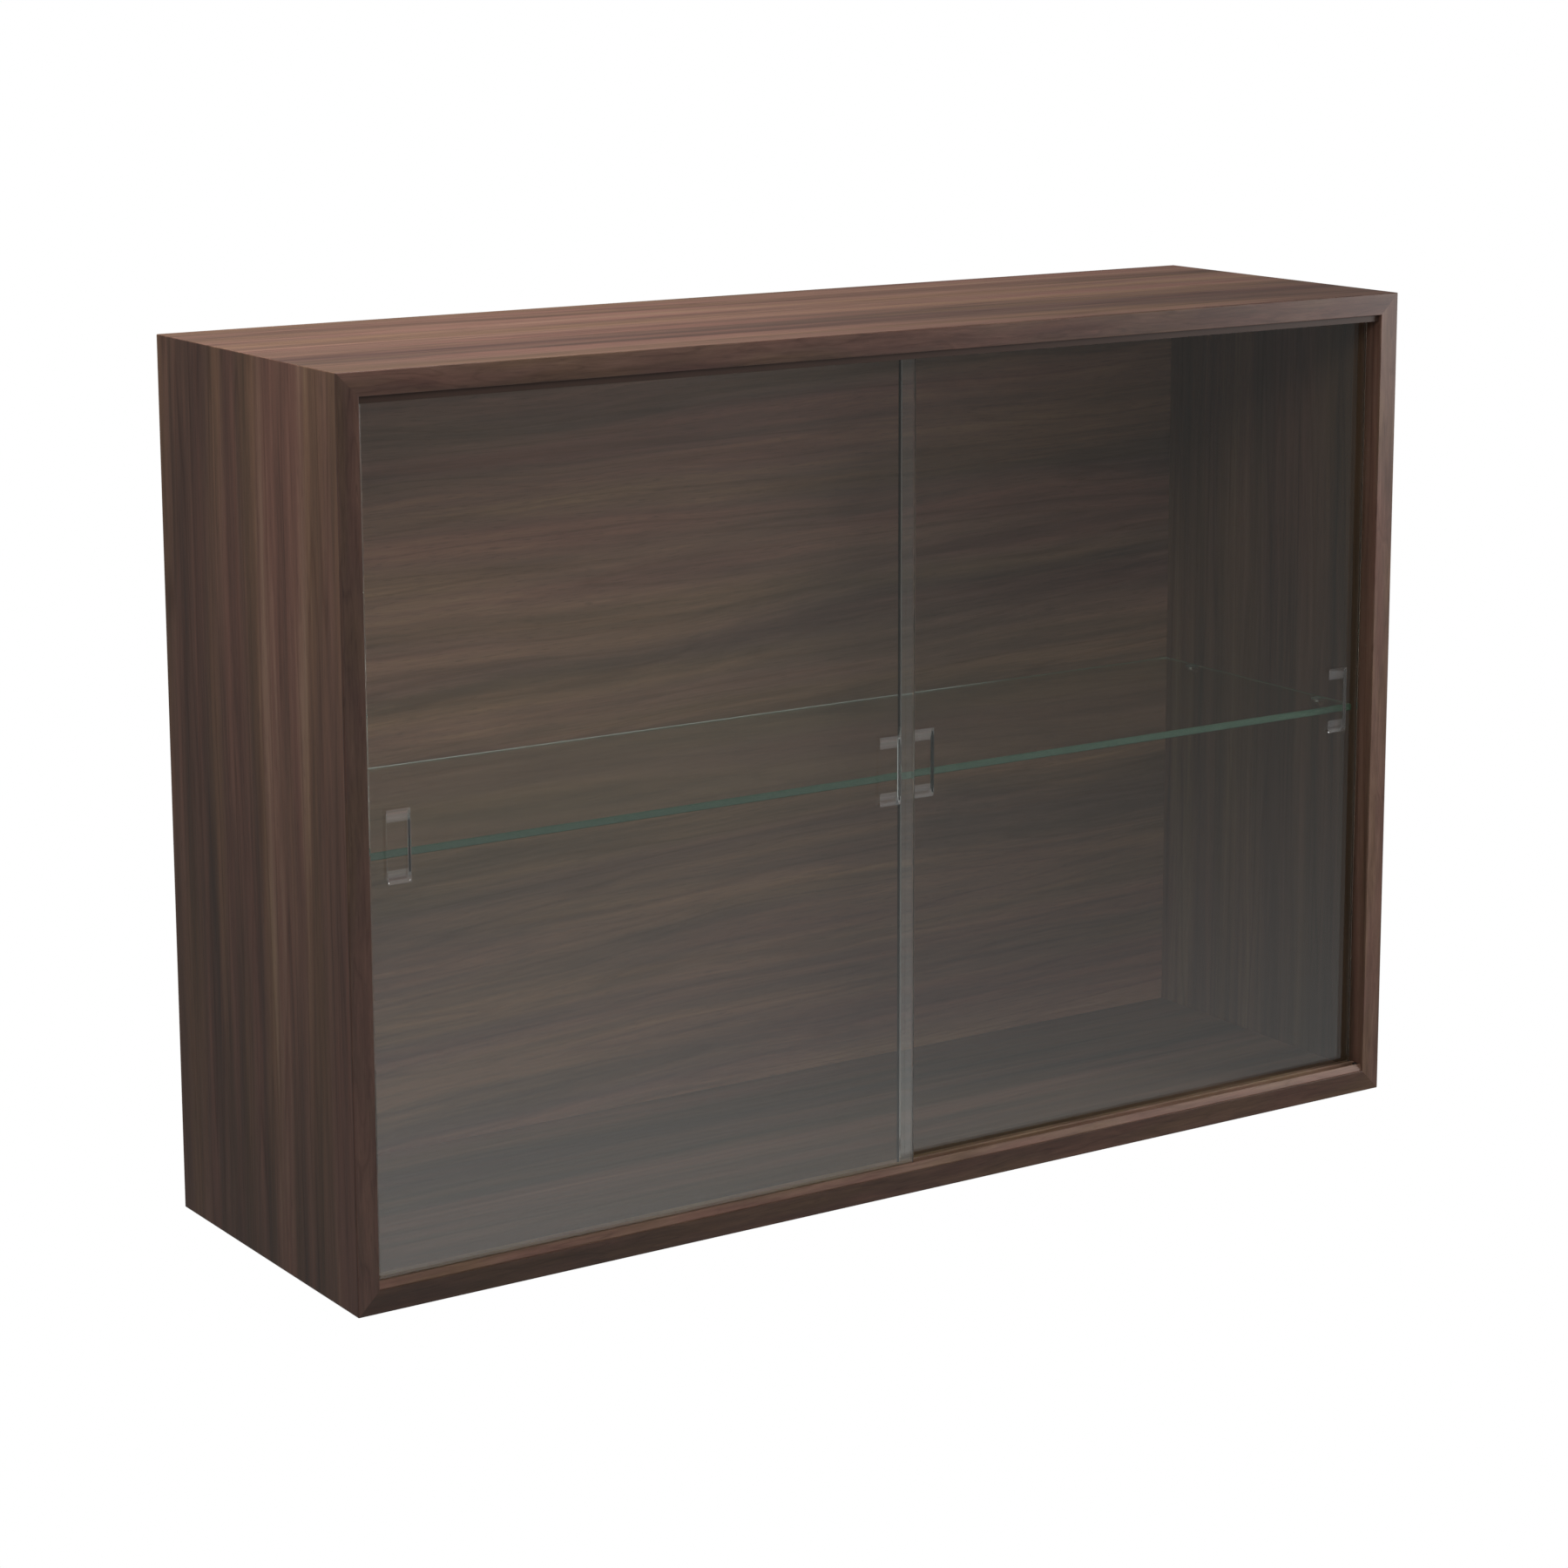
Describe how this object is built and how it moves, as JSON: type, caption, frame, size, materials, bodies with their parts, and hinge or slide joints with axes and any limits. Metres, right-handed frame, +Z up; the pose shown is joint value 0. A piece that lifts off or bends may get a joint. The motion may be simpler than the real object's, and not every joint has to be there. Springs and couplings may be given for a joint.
{
  "type": "wall mounted showcase",
  "caption": "Mitred walnut wall showcase with sliding glass doors that overlap in the middle, a glass shelf, and a bevelled batten it hooks onto at the wall.",
  "frame": {"origin": "middle of the wall batten's screw line, on the wall plane", "axes": "+X right as seen from the room, +Y into the wall, +Z up; the front faces -Y"},
  "size_m": [1, 0.3, 0.7],
  "materials": {
    "walnut_veneer": "matt lacquered dark walnut veneer on board",
    "walnut_lipping": "matt lacquered solid walnut",
    "door_glass": "clear float glass with polished edges",
    "shelf_glass": "clear float glass with polished edges",
    "track_plastic": "walnut brown extruded PVC",
    "stop_rubber": "soft dark brown rubber",
    "pin_nickel": "nickel plated steel",
    "cushion_silicone": "clear silicone",
    "batten_beech": "planed raw beech",
    "biscuit_beech": "pressed beech",
    "screw_steel": "yellow zinc plated steel"
  },
  "bodies": {
    "cabinet": {"top_panel": "walnut_veneer", "bottom_panel": "walnut_veneer", "left_side_panel": "walnut_veneer", "right_side_panel": "walnut_veneer", "back_panel": "walnut_veneer", "top_lipping": "walnut_lipping", "bottom_lipping": "walnut_lipping", "left_side_lipping": "walnut_lipping", "right_side_lipping": "walnut_lipping", "top_track": "track_plastic", "bottom_track": "track_plastic", "track_end_stops": "stop_rubber", "shelf_glass": "shelf_glass", "shelf_pin_cushions": "cushion_silicone", "hanging_batten": "batten_beech", "wall_batten": "batten_beech", "spacer_batten": "batten_beech", "batten_screws": "screw_steel", "shelf_pin_front_left": "pin_nickel", "shelf_pin_front_right": "pin_nickel", "shelf_pin_back_left": "pin_nickel", "shelf_pin_back_right": "pin_nickel", "mitre_biscuits_top_left": "biscuit_beech", "mitre_biscuits_top_right": "biscuit_beech", "mitre_biscuits_bottom_left": "biscuit_beech", "mitre_biscuits_bottom_right": "biscuit_beech"},
    "front_door": {"front_door_glass": "door_glass"},
    "rear_door": {"rear_door_glass": "door_glass"}
  },
  "joints": [
    {"name": "front_door_slide", "type": "slide", "parent": "cabinet", "child": "front_door", "axis": [1, 0, 0], "range_m": [0, 0.475]},
    {"name": "rear_door_slide", "type": "slide", "parent": "cabinet", "child": "rear_door", "axis": [1, 0, 0], "range_m": [-0.475, 0]}
  ]
}
